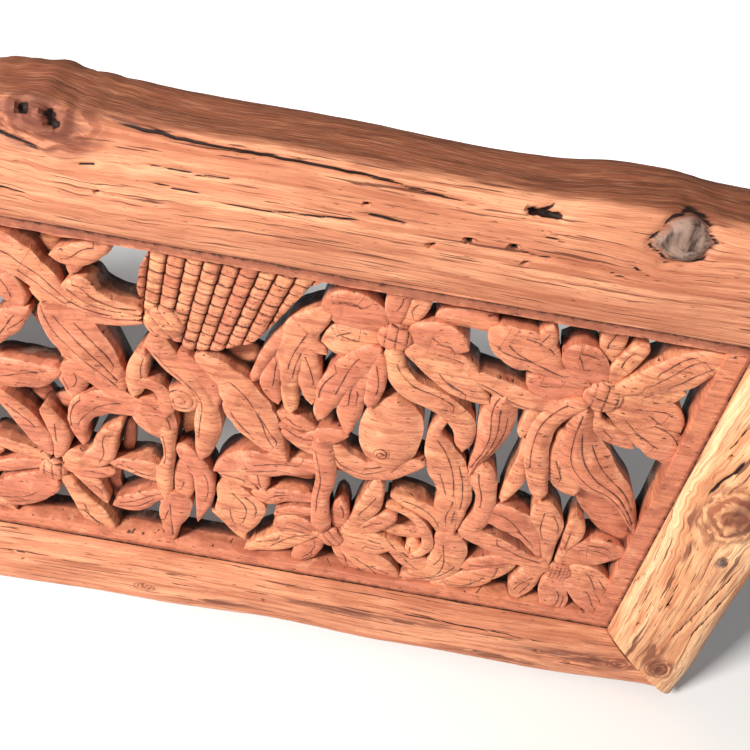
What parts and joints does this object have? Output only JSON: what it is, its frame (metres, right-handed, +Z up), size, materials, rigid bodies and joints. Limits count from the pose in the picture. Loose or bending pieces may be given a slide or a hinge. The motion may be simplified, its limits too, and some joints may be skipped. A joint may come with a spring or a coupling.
{
  "type": "carved wall panel",
  "caption": "Long pierced wood relief of leaves, flowers and scrolls in a frame of rustic split logs with mitred corners, to hang flat on a wall.",
  "frame": {"origin": "on the flat back of the top rail, halfway along it and halfway up it: the place that rests on the wall", "axes": "+X along the panel to the viewer's right, +Y into the wall, +Z up"},
  "size_m": [1.0142, 0.0573, 0.485],
  "materials": {
    "carved_wood": "bare reddish hardwood, hand carved, dark with dust in the recesses",
    "frame_wood": "rubbed golden-brown log wood with cracks, knots and insect holes"
  },
  "bodies": {
    "root": {"carved_board": "carved_wood", "top_rail": "frame_wood", "bottom_rail": "frame_wood", "right_stile": "frame_wood", "left_stile": "frame_wood"}
  },
  "joints": []
}
